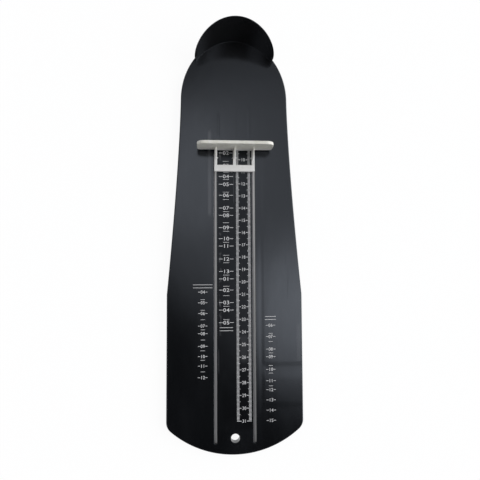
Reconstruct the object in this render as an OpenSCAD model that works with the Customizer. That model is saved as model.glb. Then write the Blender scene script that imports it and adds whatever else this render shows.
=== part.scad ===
// Foot measuring board: a flat moulded board with a heel wall, printed size scales,
// and a toe slider that runs along two slots.
// +Z is up, the heel wall is at +Y, and sizes grow from the heel wall towards -Y.

/* [Board] */
// Length from the outside of the heel wall to the tip of the toe end
board_len = 338.5; // [300:0.5:380]
// Width across the widest, parallel part
board_w = 109; // [98:0.2:124]
// Height of the deck's top face above the surface that the board stands on
board_h = 7; // [6:0.5:12]
// Thickness of the deck
deck_t = 2.5; // [1.6:0.1:3.2]
// Thickness of the skirt round the edge
skirt_t = 2.2; // [1.4:0.1:3]
// Width where the rounded heel end meets the flared sides
heel_w = 87.8; // [80:0.2:94]
// Length of the rounded heel end
heel_curve_len = 52.5; // [44:0.5:60]
// Length over which the sides flare out to the full width
flare_len = 160; // [120:1:170]
// How late the flare opens: 1 is a straight taper
flare_power = 1.4; // [1:0.1:2]
// Radius of the arc across the toe end
toe_r = 79; // [66:1:110]
// Radius of the two toe corners
toe_corner_r = 10; // [4:0.5:12]

/* [Heel wall] */
// Thickness of the heel wall
heel_wall_t = 2.5; // [1.6:0.1:3.5]
// Height of the heel wall above the deck, at its middle
heel_wall_h = 37; // [25:0.5:50]
// Width of the heel wall across its two feet
heel_wall_w = 64.8; // [56:0.2:74]
// How blunt the wall's arched rim is at its middle: 2 is round
heel_rim_across = 2; // [2:0.1:3]
// How steeply the rim rises from its two feet: 2 is round
heel_rim_rise = 3.2; // [2:0.1:4]

/* [Slots] */
// Distance between the two slots' centre lines
slot_spacing = 31.2; // [28:0.2:36]
// Width of each slot
slot_w = 2.4; // [2:0.1:4]
// Distance from the inside of the heel wall to the heel end of the slots
slot_start = 94.7; // [85:0.1:110]
// Distance from the toe ends of the slots to the tip of the board
slot_toe_margin = 8.7; // [7:0.1:20]

/* [Hanging hole] */
// Diameter of the hanging hole
hole_d = 7; // [5:0.5:9]
// Distance from the hole's centre to the tip of the board
hole_toe_margin = 12.8; // [12:0.1:18]
// Thickness of the collar round the hole under the deck
hole_collar_t = 2.2; // [1.2:0.1:3]

/* [Ribs] */
// Thickness of the ribs under the deck
rib_t = 1.6; // [1:0.1:2]
// Distance from the inside of the heel wall to the first cross rib
rib_first = 73; // [60:1:80]
// Distance from one cross rib to the next
rib_pitch = 32; // [30:1:60]
// Height of the ribs' lower edges above the surface that the board stands on
rib_lift = 1; // [0.5:0.1:2]

/* [Slider] */
// Width of the toe plate
plate_w = 60.5; // [50:0.5:72]
// Height of the toe plate's top edge above the deck
plate_h = 22; // [16:0.5:32]
// Thickness of the toe plate
plate_t = 2.6; // [2:0.1:5]
// Radius of the toe plate's upper corners
plate_top_r = 6; // [2:0.5:8]
// Radius of the toe plate's lower corners
plate_low_r = 2.5; // [1:0.5:4]
// Height of the toe plate's wings above the deck
wing_lift = 2.6; // [1.5:0.1:6]
// Thickness of the three legs
leg_t = 2.4; // [1.8:0.1:3.5]
// Height of the legs and of the cross bar, without their gap to the deck
leg_h = 2.6; // [1.6:0.1:4]
// Height at which the legs' gussets meet the toe plate, above the deck
gusset_h = 11; // [6:0.5:15]
// Length of the legs' gussets along the board
gusset_len = 8; // [4:0.1:10]
// Thickness of the gussets
gusset_t = 1.2; // [0.8:0.1:1.8]
// Distance from the toe plate's back face to the outer edge of the cross bar
frame_len = 17.8; // [16:0.1:24]
// Width of the cross bar along the board
bar_w = 5.4; // [3:0.1:7]
// Distance from the toe plate's heel face to the reading pointers
pointer_reach = 9; // [7:0.1:12]
// How far each pointer stands out of its leg
pointer_len = 0.9; // [0.4:0.1:1.5]
// Height of each pointer
pointer_h = 1.5; // [0.8:0.1:2.4]
// Length along the board of the blade that runs in each slot
blade_len = 14.4; // [8:0.1:15]
// How far the cross bar passes the toe ends of the blades
bar_over = 0.9; // [0.5:0.1:4]
// How far each blade's hook reaches out under the deck
hook_reach = 1.4; // [0.8:0.1:2]
// Height of each hook where it leaves its blade
hook_h = 1.9; // [1.2:0.1:2.4]
// Height of each hook's outer edge
hook_edge_h = 0.6; // [0.4:0.1:1]

/* [Fits] */
// Gap between the slider's underside and the deck
slide_gap = 0.4; // [0.35:0.05:0.6]
// Gap on each side of a blade in its slot
blade_gap = 0.3; // [0.1:0.05:0.4]
// Gap between the hooks and the underside of the deck
hook_gap = 0.3; // [0.1:0.05:0.5]
// Gap between the hooks and the rails beside them
channel_gap = 1; // [0.3:0.1:1.5]

/* [Scales] */
// Thickness of the film between the slots
film_t = 0.12; // [0.08:0.01:0.15]
// Thickness of the printed marks
ink_t = 0.1; // [0.05:0.01:0.12]
// Gap between the film and each slot
film_gap = 0.5; // [0.2:0.1:1]
// Distance from the toe plate at rest back to the heel end of the film
film_lead = 2; // [1:0.5:4]
// Length of film past the last centimetre
film_tail = 6.5; // [3:0.5:8]
// Thickness of the tick lines
tick_t = 0.5; // [0.3:0.05:0.6]
// Thickness of the short ticks and of the digits' bars
thin_tick_t = 0.4; // [0.3:0.05:0.6]
// Thickness of the millimetre lines
fine_tick_t = 0.45; // [0.3:0.05:0.6]
// Distance from the board's middle to the middle of the small outer scale on the left
left_scale_x = 25.8; // [24:0.1:30]
// Distance from the board's middle to the middle of the small outer scale on the right
right_scale_x = 28.7; // [24:0.1:30]
// Height of the numbers in the outer scales
outer_digit_h = 2.6; // [2:0.1:3]
// Width of the numbers in the outer scales
outer_pair_w = 3.4; // [3:0.1:4]
// Length of the side ticks in the outer scales
outer_tick = 1.7; // [1:0.1:2.5]
// Distance from the board's middle to the middle of the scale of small sizes
inner_scale_x = 6.9; // [6.5:0.1:7.5]
// Height of the numbers in the scale of small sizes
inner_digit_h = 3; // [2.4:0.1:3.2]
// Width of the numbers in the scale of small sizes
inner_pair_w = 4.9; // [4:0.1:5]
// Length of the side ticks in the scale of small sizes
inner_tick = 3; // [2:0.1:3.2]
// Distance from the heel wall to the lines that head the scale on the left
left_heading_s = 203.4; // [190:0.1:204]
// Length of the lines that head the scale on the left
left_heading_len = 15.6; // [8:0.1:16]
// Distance from the heel wall to the lines that head the scale on the right
right_heading_s = 229.2; // [220:0.1:231]
// Length of the lines that head the scale on the right
right_heading_len = 8.8; // [8:0.1:16]
// Distance from the heel wall to the lines that close the scale of small sizes
inner_heading_s = 237.7; // [237:0.1:245]
// Length of the lines that close the scale of small sizes
inner_heading_len = 10.8; // [8:0.1:12]
// Height over all of each pair of heading lines
heading_h = 2.8; // [2:0.1:4]
// Distance from the board's middle to the middle of the centimetre ladder
ladder_x = 7.1; // [7:0.1:8]
// Width across the centimetre ladder
ladder_w = 11.7; // [10:0.1:12]
// Length of the ladder's millimetre lines
fine_len = 2.4; // [1.5:0.1:2.6]
// How much longer each half centimetre line is than a millimetre line
half_extra = 0.6; // [0.4:0.1:1]
// How much longer each centimetre line is than a millimetre line
full_extra = 1.3; // [1:0.1:1.8]
// Height of the ladder's numbers
ladder_digit_h = 2.6; // [2:0.1:3]
// Width of the ladder's numbers
ladder_pair_w = 3.2; // [2.8:0.1:4]
// Bare length between the ladder's last number and the tip of the board
ladder_margin = 20; // [18:1:26]

/* [Hidden] */
$fn = 48;

// Colours
board_black = [0.05, 0.05, 0.06];
slider_ivory = [0.86, 0.85, 0.81];
film_black = [0.02, 0.02, 0.025];
ink_white = [0.93, 0.93, 0.93];

// Steps in each part of the half outline
heel_steps = 20;
flare_steps = 12;
corner_steps = 5;
toe_steps = 14;
rim_steps = 40;

// Amount by which a cutting solid passes the face it cuts
cut = 1;
// Smallest radius left when the toe corners are drawn in
least_r = 0.5;
// Distance from the toe plate at rest to the ladder's first line, at least
ladder_lead = 1;
// Width of a digit's bars as a share of their height
digit_slope = 0.6;

// Places along the board, counted from the inside of the heel wall
heel_y = board_len / 2 - heel_wall_t;
tip_s = board_len - heel_wall_t;
slot_end = tip_s - slot_toe_margin;
hole_s = tip_s - hole_toe_margin;
heel_centre_y = board_len / 2 - heel_curve_len;
toe_centre_y = toe_r - board_len / 2;

// The slots and the channels behind them
slot_x = slot_spacing / 2;
slot_inner = slot_x - slot_w / 2;
channel_outer = slot_x + slot_w / 2 + hook_reach + channel_gap;
deck_under = board_h - deck_t;

// The slider: at rest its blades stand at the heel end of the slots
blade_t = slot_w - 2 * blade_gap;
blade_start = slot_start + blade_gap;
blade_end = blade_start + blade_len;
bar_end = blade_end + bar_over;
plate_back = bar_end - frame_len;
plate_front = plate_back - plate_t;
frame_half_w = slot_x + blade_t / 2;
leg_low = board_h + slide_gap;
leg_top = leg_low + leg_h;
hook_top = deck_under - hook_gap;
blade_low = hook_top - hook_h;

// Marks
film_start = plate_front - film_lead;
ladder_start = ceil(plate_front + ladder_lead);
last_cm = floor((tip_s - ladder_margin) / 10);
film_end = min(10 * last_cm + film_tail, hole_s - hole_d / 2 - film_gap);

// Foot length in millimetres for each whole and half size, smallest first.
// A negative number is a half size, which gets a short tick and no number.
womens_sizes = [[4, 208], [-4, 214], [5, 216.5], [-5, 222.5], [6, 225], [-6, 230], [7, 235],
                [-7, 238], [8, 241], [-8, 246], [9, 251], [-9, 254.5], [10, 259], [-10, 262],
                [11, 266.5], [-11, 271], [12, 275.5]];
mens_sizes = [[6, 235], [-6, 241.5], [7, 244], [-7, 248], [8, 254], [-8, 257], [9, 260],
              [-9, 267], [10, 270], [-10, 273], [11, 279], [-11, 283], [12, 286], [13, 294],
              [14, 302], [15, 310]];
childrens_sizes = [[2, 94.5], [-2, 101.5], [3, 105], [-3, 110.5], [4, 114], [-4, 116.5],
                   [5, 120.5], [-5, 127], [6, 129.5], [-6, 133], [7, 140], [-7, 143],
                   [8, 146], [-8, 152], [9, 156], [-9, 159], [10, 165], [-10, 168], [11, 171],
                   [-11, 178.5], [12, 181.5], [-12, 184.5], [13, 191.5], [-13, 194.5],
                   [1, 197.5], [-1, 203.5], [2, 206.5], [-2, 211], [3, 216.5], [-3, 219.5],
                   [4, 222.5], [-4, 230], [5, 232.5]];

// Bars of each digit: top, upper right, lower right, bottom, lower left, upper left, middle
digit_bars = [[1, 1, 1, 1, 1, 1, 0], [0, 1, 1, 0, 0, 0, 0], [1, 1, 0, 1, 1, 0, 1],
              [1, 1, 1, 1, 0, 0, 1], [0, 1, 1, 0, 0, 1, 1], [1, 0, 1, 1, 0, 1, 1],
              [1, 0, 1, 1, 1, 1, 1], [1, 1, 1, 0, 0, 0, 0], [1, 1, 1, 1, 1, 1, 1],
              [1, 1, 1, 1, 0, 1, 1]];

// Place along Y of a distance from the inside of the heel wall
function y_at(s) = heel_y - s;

// Board outline, drawn in by inset: toe corner first, then the half outline, then all of it
function corner_r(inset) = max(toe_corner_r - inset, least_r);
function corner_x(inset) = board_w / 2 - inset - corner_r(inset);
function corner_drop(inset) = sqrt(pow(toe_r - inset - corner_r(inset), 2) - pow(corner_x(inset), 2));
function corner_turn(inset) = atan2(corner_drop(inset), corner_x(inset));

function heel_half(inset) = [for (i = [0 : heel_steps]) let (turn = 90 * i / heel_steps)
    [(heel_w / 2 - inset) * sin(turn), heel_centre_y + (heel_curve_len - inset) * cos(turn)]];
function flare_half(inset) = [for (i = [1 : flare_steps]) let (part = i / flare_steps)
    [heel_w / 2 - inset + (board_w - heel_w) / 2 * pow(part, flare_power),
     heel_centre_y - flare_len * part]];
function corner_half(inset) = [for (i = [0 : corner_steps])
    let (turn = corner_turn(inset) * i / corner_steps)
    [corner_x(inset) + corner_r(inset) * cos(turn),
     toe_centre_y - corner_drop(inset) - corner_r(inset) * sin(turn)]];
function toe_half(inset) = [for (i = [1 : toe_steps])
    let (turn = corner_turn(inset) + (90 - corner_turn(inset)) * i / toe_steps)
    [(toe_r - inset) * cos(turn), toe_centre_y - (toe_r - inset) * sin(turn)]];
function half_outline(inset) = concat(heel_half(inset), flare_half(inset),
    corner_half(inset), toe_half(inset));
function outline(inset) = let (half = half_outline(inset), last = len(half) - 1)
    concat(half, [for (i = [last - 1 : -1 : 1]) [-half[i][0], half[i][1]]]);

// Arched rim of the heel wall, seen from the toe end
function heel_rim() = [for (i = [0 : rim_steps]) let (turn = 180 * i / rim_steps)
    [sign(cos(turn)) * heel_wall_w / 2 * pow(abs(cos(turn)), 2 / heel_rim_across),
     board_h + heel_wall_h * pow(sin(turn), 2 / heel_rim_rise)]];

// Rectangle in plan, from x0 to x1 across and from s0 to s1 along the board
module plan_box(x0, x1, s0, s1) {
    translate([x0, y_at(s1)]) square([x1 - x0, s1 - s0]);
}

// Slot or blade in plan, with round ends
module plan_slot(x, width, s0, s1) {
    plan_box(x - width / 2, x + width / 2, s0 + width / 2, s1 - width / 2);
    for (s = [s0 + width / 2, s1 - width / 2])
        translate([x, y_at(s)]) circle(d = width);
}

// Rails beside the slots and ribs across the board, with the blades' channels left free
module rib_plan() {
    difference() {
        union() {
            for (side = [-1, 1]) {
                plan_box(side * (slot_inner - rib_t / 2) - rib_t / 2,
                         side * (slot_inner - rib_t / 2) + rib_t / 2, slot_start, tip_s);
                plan_box(side * (channel_outer + rib_t / 2) - rib_t / 2,
                         side * (channel_outer + rib_t / 2) + rib_t / 2, slot_start, tip_s);
            }
            for (s = [rib_first : rib_pitch : slot_end])
                plan_box(-board_w / 2, board_w / 2, s, s + rib_t);
            plan_box(-board_w / 2, board_w / 2, slot_start - 2 * rib_t, slot_start - rib_t);
        }
        for (side = [-1, 1])
            plan_box(side * (slot_inner + channel_outer) / 2 - (channel_outer - slot_inner) / 2,
                     side * (slot_inner + channel_outer) / 2 + (channel_outer - slot_inner) / 2,
                     slot_start - rib_t, slot_end + rib_t);
    }
}

module hole_collar_plan() {
    translate([0, y_at(hole_s)]) circle(d = hole_d + 2 * hole_collar_t);
}

// Deck and skirt in one, hollow from below, with the ribs left standing
module board_shell() {
    difference() {
        linear_extrude(board_h) polygon(outline(0));
        translate([0, 0, -cut]) linear_extrude(cut + rib_lift)
            difference() {
                polygon(outline(skirt_t));
                hole_collar_plan();
            }
        translate([0, 0, -cut]) linear_extrude(cut + deck_under)
            difference() {
                polygon(outline(skirt_t));
                rib_plan();
                hole_collar_plan();
            }
    }
}

module heel_wall() {
    intersection() {
        linear_extrude(board_h + heel_wall_h)
            difference() {
                polygon(outline(0));
                polygon(outline(heel_wall_t));
            }
        translate([0, board_len / 2 + cut, 0]) rotate([90, 0, 0])
            linear_extrude(cut + heel_curve_len)
                polygon(concat(heel_rim(), [[-heel_wall_w / 2, deck_under], [heel_wall_w / 2, deck_under]]));
    }
}

module base_board() {
    color(board_black)
    difference() {
        union() {
            board_shell();
            heel_wall();
        }
        for (side = [-1, 1])
            translate([0, 0, -cut]) linear_extrude(board_h + 2 * cut)
                plan_slot(side * slot_x, slot_w, slot_start, slot_end);
        translate([0, y_at(hole_s), -cut]) cylinder(d = hole_d, h = board_h + 2 * cut);
    }
}

// Upright plate that the toes meet, with lifted wings either side of the frame
module toe_plate() {
    wing_low = board_h + wing_lift;
    plate_top = board_h + plate_h;
    translate([0, y_at(plate_front), 0]) rotate([90, 0, 0]) linear_extrude(plate_t) {
        for (side = [-1, 1]) {
            translate([side * (plate_w / 2 - plate_top_r), plate_top - plate_top_r]) circle(plate_top_r);
            translate([side * (plate_w / 2 - plate_low_r), wing_low + plate_low_r]) circle(plate_low_r);
        }
        translate([-plate_w / 2, wing_low + plate_low_r])
            square([plate_w, plate_top - plate_top_r - wing_low - plate_low_r]);
        translate([plate_top_r - plate_w / 2, plate_top - plate_top_r - plate_low_r])
            square([plate_w - 2 * plate_top_r, plate_top_r + plate_low_r]);
        translate([plate_low_r - plate_w / 2, wing_low])
            square([plate_w - 2 * plate_low_r, 2 * plate_low_r]);
        translate([-frame_half_w, leg_low])
            square([2 * frame_half_w, wing_low + plate_low_r - leg_low]);
    }
}

// Leg with the thin gusset that props the toe plate
module leg(x_low) {
    in_plate = plate_back - plate_t / 2;
    translate([x_low, y_at(bar_end), leg_low])
        cube([leg_t, bar_end - in_plate, leg_h]);
    translate([x_low + (leg_t - gusset_t) / 2, 0, 0]) rotate([90, 0, 90]) linear_extrude(gusset_t)
        polygon([[y_at(in_plate), leg_low],
                 [y_at(in_plate), board_h + gusset_h],
                 [y_at(plate_back), board_h + gusset_h],
                 [y_at(plate_back + gusset_len), leg_top],
                 [y_at(plate_back + gusset_len), leg_low]]);
}

// Blade through one slot, with the hook that keeps the slider down
module blade(side) {
    inner = slot_x - blade_t / 2;
    outer = slot_x + blade_t / 2 + hook_reach;
    translate([0, 0, blade_low]) linear_extrude(leg_low + leg_h / 2 - blade_low)
        plan_slot(side * slot_x, blade_t, blade_start, blade_end);
    translate([0, y_at(blade_start + blade_t), 0]) rotate([90, 0, 0])
        linear_extrude(blade_len - 2 * blade_t)
            polygon([[side * inner, hook_top], [side * outer, hook_top],
                     [side * outer, hook_top - hook_edge_h], [side * inner, blade_low]]);
}

// Small points on the legs that read the scales
module pointer(x, side) {
    translate([x, y_at(plate_front + pointer_reach), leg_low]) linear_extrude(pointer_h)
        polygon([[-side * leg_t / 4, -pointer_len], [side * pointer_len, 0],
                 [-side * leg_t / 4, pointer_len]]);
}

module slider() {
    leg_inner = frame_half_w - leg_t;
    color(slider_ivory)
    union() {
        toe_plate();
        for (x_low = [-frame_half_w, -leg_t / 2, leg_inner])
            leg(x_low);
        translate([-frame_half_w, y_at(bar_end), leg_low]) cube([2 * frame_half_w, bar_w, leg_h]);
        for (side = [-1, 1]) {
            blade(side);
            pointer(side * leg_inner, -side);
            pointer(side * leg_t / 2, side);
        }
    }
}

module centre_film() {
    half_w = slot_inner - film_gap;
    color(film_black)
    translate([-half_w, y_at(film_end), board_h]) cube([2 * half_w, film_end - film_start, film_t]);
}

// One bar of a digit between two corners of its box
module digit_bar(x0, y0, x1, y1, line) {
    translate([x0 - line / 2, y0 - line / 2]) square([x1 - x0 + line, y1 - y0 + line]);
}

// Digit centred on the origin, high and wide over its bars' middles
module digit(value, high, line) {
    bars = digit_bars[value];
    right = high * digit_slope / 2;
    top = high / 2;
    if (bars[0] == 1) digit_bar(-right, top, right, top, line);
    if (bars[1] == 1) digit_bar(right, 0, right, top, line);
    if (bars[2] == 1) digit_bar(right, -top, right, 0, line);
    if (bars[3] == 1) digit_bar(-right, -top, right, -top, line);
    if (bars[4] == 1) digit_bar(-right, -top, -right, 0, line);
    if (bars[5] == 1) digit_bar(-right, 0, -right, top, line);
    if (bars[6] == 1) digit_bar(-right, 0, right, 0, line);
}

// Number of two digits centred on the origin, pair_w wide over all
module two_digits(value, high, pair_w, line) {
    shift = (pair_w - high * digit_slope - line) / 2;
    translate([-shift, 0]) digit(floor(value / 10), high, line);
    translate([shift, 0]) digit(value % 10, high, line);
}

// Tick centred on the origin
module tick(length, line) {
    translate([-length / 2, -line / 2]) square([length, line]);
}

// Column of size numbers with a tick on each side, and short ticks for the half sizes
module size_column(sizes, middle_x, floor_z, digit_h, pair_w, side_tick) {
    side_x = (pair_w + side_tick) / 2 + tick_t;
    translate([0, 0, floor_z]) linear_extrude(ink_t)
        for (row = sizes)
            if (row[1] <= 10 * last_cm)
                translate([middle_x, y_at(row[1])]) {
                    if (row[0] < 0) tick(pair_w, thin_tick_t);
                    if (row[0] > 0) two_digits(row[0], digit_h - thin_tick_t, pair_w, thin_tick_t);
                    if (row[0] > 0)
                        for (side = [-1, 1])
                            translate([side * side_x, 0]) tick(side_tick, tick_t);
                }
}

// Plain pair of lines that heads a column
module heading(middle_x, s, length, floor_z) {
    translate([middle_x, y_at(s), floor_z]) linear_extrude(ink_t)
        for (side = [-1, 1])
            translate([0, side * (heading_h - tick_t) / 2]) tick(length, tick_t);
}

module womens_scale() {
    color(ink_white) {
        size_column(womens_sizes, -left_scale_x, board_h, outer_digit_h, outer_pair_w, outer_tick);
        heading(-left_scale_x, left_heading_s, left_heading_len, board_h);
    }
}

module mens_scale() {
    color(ink_white) {
        size_column(mens_sizes, right_scale_x, board_h, outer_digit_h, outer_pair_w, outer_tick);
        heading(right_scale_x, right_heading_s, right_heading_len, board_h);
    }
}

module childrens_scale() {
    film_top = board_h + film_t;
    color(ink_white) {
        size_column(childrens_sizes, -inner_scale_x, film_top, inner_digit_h, inner_pair_w, inner_tick);
        heading(-inner_scale_x, inner_heading_s, inner_heading_len, film_top);
    }
}

// Two rows of millimetre lines with a number at each centimetre
module centimetre_ladder() {
    color(ink_white)
    translate([0, 0, board_h + film_t]) linear_extrude(ink_t) {
        for (mm = [ladder_start : 10 * last_cm]) {
            length = fine_len + (mm % 10 == 0 ? full_extra : mm % 5 == 0 ? half_extra : 0);
            for (side = [-1, 1])
                translate([ladder_x + side * (ladder_w - length) / 2, y_at(mm)])
                    tick(length, fine_tick_t);
        }
        for (cm = [ceil(ladder_start / 10) : last_cm])
            translate([ladder_x, y_at(10 * cm)])
                two_digits(cm, ladder_digit_h - thin_tick_t, ladder_pair_w, thin_tick_t);
    }
}

base_board();
slider();
centre_film();
womens_scale();
childrens_scale();
mens_scale();
centimetre_ladder();
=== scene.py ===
"""Looks of the foot measuring device: a black moulded board with a heel wall, printed
size scales and an ivory toe slider, on a white ground. All lengths are in metres."""
import math

import bmesh
import bpy
from mathutils import Euler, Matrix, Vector


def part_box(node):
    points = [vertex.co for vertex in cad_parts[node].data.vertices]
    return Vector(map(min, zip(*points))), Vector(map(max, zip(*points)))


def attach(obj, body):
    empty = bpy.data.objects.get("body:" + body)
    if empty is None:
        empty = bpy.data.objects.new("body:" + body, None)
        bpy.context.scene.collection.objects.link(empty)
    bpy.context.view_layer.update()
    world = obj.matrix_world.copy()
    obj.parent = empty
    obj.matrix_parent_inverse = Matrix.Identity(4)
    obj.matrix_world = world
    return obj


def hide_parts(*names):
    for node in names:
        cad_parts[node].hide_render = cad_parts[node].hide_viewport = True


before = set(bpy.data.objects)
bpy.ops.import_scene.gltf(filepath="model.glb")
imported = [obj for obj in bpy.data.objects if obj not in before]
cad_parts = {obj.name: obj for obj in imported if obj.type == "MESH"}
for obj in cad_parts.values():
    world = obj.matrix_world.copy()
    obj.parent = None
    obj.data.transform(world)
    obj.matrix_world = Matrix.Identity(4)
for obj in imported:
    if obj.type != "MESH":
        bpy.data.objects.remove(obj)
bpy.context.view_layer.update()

scene = bpy.context.scene
MM = 0.001

# ---------------------------------------------------------------- sizes, from the frame
board_lo, board_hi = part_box("base_board")
slider_lo, slider_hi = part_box("slider")
film_lo, film_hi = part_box("centre_film")
BOARD_W = board_hi.x - board_lo.x
BOARD_LEN = board_hi.y - board_lo.y
DECK_Z = film_lo.z
WALL_H = board_hi.z - DECK_Z
FILM_Z = film_hi.z
INK_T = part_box("womens_scale")[1].z - DECK_Z

# The board's own dimensions
DECK_T = 2.5 * MM
SKIRT_T = 2.2 * MM
HEEL_W = 87.8 * MM
HEEL_CURVE = 52.5 * MM
FLARE_LEN = 160 * MM
FLARE_POWER = 1.4
TOE_R = 79 * MM
CORNER_R = 10 * MM
WALL_T = 2.5 * MM
WALL_W = 64.8 * MM
# Powers of the heel wall's arch, across and up
RIM_ACROSS = 2
RIM_RISE = 3.2
SLOT_X = 15.6 * MM
SLOT_W = 2.4 * MM
SLOT_START = 94.7 * MM
SLOT_END = 327.3 * MM
HOLE_R = 3.5 * MM
HOLE_S = 323.2 * MM
COLLAR_T = 2.2 * MM
RIB_T = 1.6 * MM
RIB_FIRST = 73 * MM
RIB_PITCH = 32 * MM
RIB_LIFT = 1 * MM
CHANNEL_OUTER = 19.2 * MM

# Edge roundings and fillets
DECK_EDGE_R = 0.9 * MM
FOOT_EDGE_R = 0.4 * MM
SLOT_EDGE_R = 0.25 * MM
UNDER_FILLET = 0.8 * MM
RIB_EDGE_R = 0.25 * MM
WALL_FILLET = 0.25 * MM
WALL_RIM_T = 0.9 * MM
# The heel wall's foot stands a hair inside the skirt and reaches down into the deck
WALL_INSET = 0.03 * MM
WALL_ROOT = 1.6 * MM

# Vertices closer than this are one
WELD_DIST = 0.001 * MM

HEEL_Y = board_hi.y - WALL_T
HEEL_CENTRE_Y = board_hi.y - HEEL_CURVE
TOE_CENTRE_Y = board_lo.y + TOE_R


def y_at(s):
    """Place along Y of a distance from the inside of the heel wall."""
    return HEEL_Y - s


# ---------------------------------------------------------------- mesh helpers
def new_object(name, bm, material, smooth=True):
    """Object of a bmesh, with its normals pointing out."""
    bmesh.ops.recalc_face_normals(bm, faces=bm.faces)
    mesh = bpy.data.meshes.new(name)
    bm.to_mesh(mesh)
    bm.free()
    for face in mesh.polygons:
        face.use_smooth = smooth
    obj = bpy.data.objects.new(name, mesh)
    scene.collection.objects.link(obj)
    if material is not None:
        mesh.materials.append(material)
    return obj


def ring_verts(bm, points):
    return [bm.verts.new(p) for p in points]


def bridge(bm, ring_a, ring_b):
    """Quads between two closed rings of as many vertices."""
    count = len(ring_a)
    for i in range(count):
        j = (i + 1) % count
        bm.faces.new((ring_a[i], ring_a[j], ring_b[j], ring_b[i]))


def bridge_all(bm, rings):
    for ring_a, ring_b in zip(rings, rings[1:]):
        bridge(bm, ring_a, ring_b)


def loop_edges(bm, ring):
    edges = []
    for i, vert in enumerate(ring):
        pair = (vert, ring[(i + 1) % len(ring)])
        edges.append(bm.edges.get(pair) or bm.edges.new(pair))
    return edges


def fill_flat(bm, rings):
    """Flat face inside the first ring and outside the others."""
    edges = [edge for ring in rings for edge in loop_edges(bm, ring)]
    bmesh.ops.triangle_fill(bm, use_beauty=True, use_dissolve=False, edges=edges)


def weld(bm):
    """Joins the vertices that lie on each other."""
    bmesh.ops.remove_doubles(bm, verts=bm.verts, dist=WELD_DIST)


def quarter(radius, steps):
    """Pairs (along, down) of a rounded edge, from its flat face to its side."""
    pairs = []
    for k in range(steps + 1):
        turn = math.pi / 2 * k / steps
        pairs.append((radius * (1 - math.sin(turn)), radius * (1 - math.cos(turn))))
    return pairs


def apply_modifier(obj, kind, **settings):
    modifier = obj.modifiers.new(kind.lower(), kind)
    for key, value in settings.items():
        setattr(modifier, key, value)
    bpy.context.view_layer.objects.active = obj
    with bpy.context.temp_override(object=obj, active_object=obj, selected_objects=[obj]):
        bpy.ops.object.modifier_apply(modifier=modifier.name)


def unite(obj, others):
    """Joins closed meshes into one skin."""
    group = bpy.data.collections.new("parts_to_unite")
    scene.collection.children.link(group)
    for other in others:
        scene.collection.objects.unlink(other)
        group.objects.link(other)
    apply_modifier(obj, "BOOLEAN", operation="UNION", solver="EXACT", operand_type="COLLECTION",
                   collection=group)
    for other in others:
        bpy.data.objects.remove(other)
    bpy.data.collections.remove(group)


def soften(obj, crease_deg):
    """Smooth shading that keeps edges sharper than crease_deg and flat faces flat."""
    mesh = obj.data
    for face in mesh.polygons:
        face.use_smooth = True
    mesh.set_sharp_from_angle(angle=math.radians(crease_deg))
    apply_modifier(obj, "WEIGHTED_NORMAL", keep_sharp=True, weight=50)


def prism(points, axis, low, high, edge_r=0.0, steps=2):
    """Closed prism of an outline in the plane across axis, with all its edges rounded."""
    def place(pair, along):
        a, b = pair
        return {"x": (along, a, b), "y": (a, along, b), "z": (a, b, along)}[axis]

    bm = bmesh.new()
    ends = [ring_verts(bm, [place(p, along) for p in points]) for along in (low, high)]
    bridge(bm, *ends)
    for end in ends:
        bm.faces.new(end)
    if edge_r:
        bmesh.ops.bevel(bm, geom=bm.edges[:], offset=edge_r, segments=steps, profile=0.5,
                        affect="EDGES", clamp_overlap=True)
    return bm


def box_outline(x0, x1, y0, y1):
    return [(x0, y0), (x1, y0), (x1, y1), (x0, y1)]


def arc(cx, cy, radius, start_deg, end_deg, steps):
    """Points of an arc, its two ends among them."""
    turns = [math.radians(start_deg + (end_deg - start_deg) * i / steps) for i in range(steps + 1)]
    return [(cx + radius * math.cos(turn), cy + radius * math.sin(turn)) for turn in turns]


# ---------------------------------------------------------------- materials
def add_node(tree, kind, inputs=None, **settings):
    """New node; an input is a constant or another node's output socket."""
    node = tree.nodes.new(kind)
    for key, value in settings.items():
        setattr(node, key, value)
    for key, value in (inputs or {}).items():
        if isinstance(value, bpy.types.NodeSocket):
            tree.links.new(value, node.inputs[key])
        else:
            node.inputs[key].default_value = value
    return node


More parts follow.
